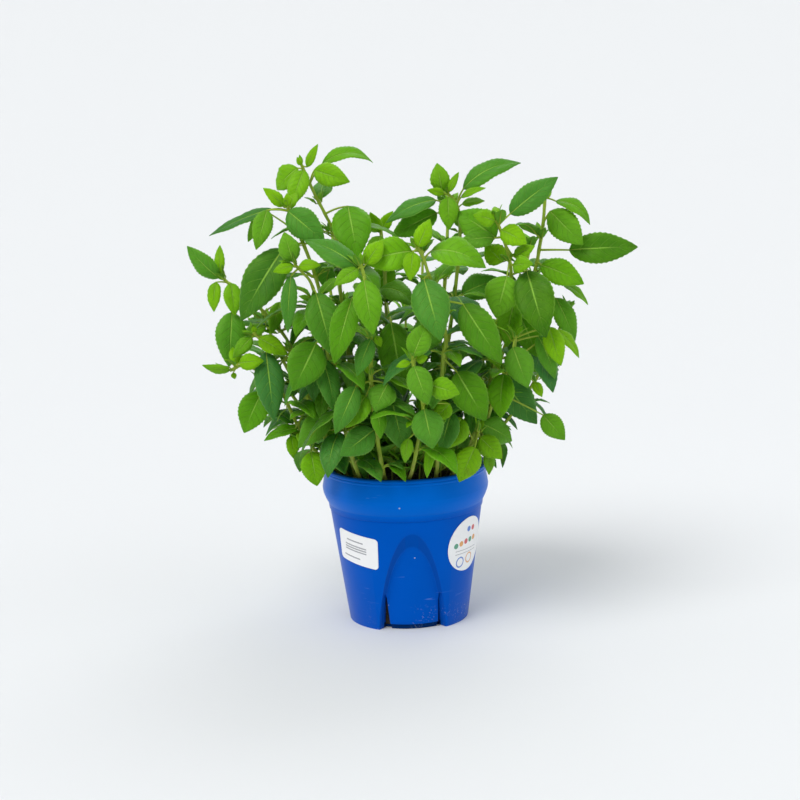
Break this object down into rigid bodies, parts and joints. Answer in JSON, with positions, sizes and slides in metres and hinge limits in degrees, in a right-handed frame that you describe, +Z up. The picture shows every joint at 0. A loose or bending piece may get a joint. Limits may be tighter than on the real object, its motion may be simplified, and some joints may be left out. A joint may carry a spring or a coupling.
{
  "type": "potted peppermint",
  "caption": "Leafy peppermint plant growing from soil in a round tapered nursery pot with a collar and arched foot recesses.",
  "frame": {"origin": "centre of the pot's flat underside", "axes": "+Z up through the pot's axis, -Y towards the side that the picture shows, +X to its right"},
  "size_m": [0.3384, 0.275, 0.3729],
  "materials": {
    "blue_plastic": "satin moulded polypropylene",
    "potting_soil": "matte, crumbly, moist potting soil",
    "price_label_paper": "semi-gloss sticker",
    "round_label_paper": "semi-gloss sticker",
    "leaf_centre_rear": "soft satin living leaf",
    "leaf_far_left": "soft satin living leaf",
    "leaf_front_left": "soft satin living leaf",
    "leaf_front_middle": "soft satin living leaf",
    "leaf_left": "soft satin living leaf",
    "leaf_left_front": "soft satin living leaf",
    "leaf_lower_left": "soft satin living leaf",
    "leaf_lower_right": "soft satin living leaf",
    "leaf_middle_front": "soft satin living leaf",
    "leaf_middle_rear": "soft satin living leaf",
    "leaf_rear_01": "soft satin living leaf",
    "leaf_rear_02": "soft satin living leaf",
    "leaf_rear_03": "soft satin living leaf",
    "leaf_rear_04": "soft satin living leaf",
    "leaf_rear_05": "soft satin living leaf",
    "leaf_rear_06": "soft satin living leaf",
    "leaf_rear_07": "soft satin living leaf",
    "leaf_rear_08": "soft satin living leaf",
    "leaf_rear_09": "soft satin living leaf",
    "leaf_rear_10": "soft satin living leaf",
    "leaf_rear_11": "soft satin living leaf",
    "leaf_right": "soft satin living leaf",
    "leaf_right_front": "soft satin living leaf",
    "leaf_rim_right": "soft satin living leaf",
    "leaf_upper_left_front": "soft satin living leaf",
    "leaf_upper_left_rear": "soft satin living leaf"
  },
  "bodies": {
    "root": {"pot": "blue_plastic", "soil": "potting_soil", "price_label": "price_label_paper", "round_label": "round_label_paper", "stem_centre_rear": "leaf_centre_rear", "stem_far_left": "leaf_far_left", "stem_front_left": "leaf_front_left", "stem_front_middle": "leaf_front_middle", "stem_left": "leaf_left", "stem_left_front": "leaf_left_front", "stem_lower_left": "leaf_lower_left", "stem_lower_right": "leaf_lower_right", "stem_middle_front": "leaf_middle_front", "stem_middle_rear": "leaf_middle_rear", "stem_rear_01": "leaf_rear_01", "stem_rear_02": "leaf_rear_02", "stem_rear_03": "leaf_rear_03", "stem_rear_04": "leaf_rear_04", "stem_rear_05": "leaf_rear_05", "stem_rear_06": "leaf_rear_06", "stem_rear_07": "leaf_rear_07", "stem_rear_08": "leaf_rear_08", "stem_rear_09": "leaf_rear_09", "stem_rear_10": "leaf_rear_10", "stem_rear_11": "leaf_rear_11", "stem_right": "leaf_right", "stem_right_front": "leaf_right_front", "stem_rim_right": "leaf_rim_right", "stem_upper_left_front": "leaf_upper_left_front", "stem_upper_left_rear": "leaf_upper_left_rear"}
  },
  "joints": []
}
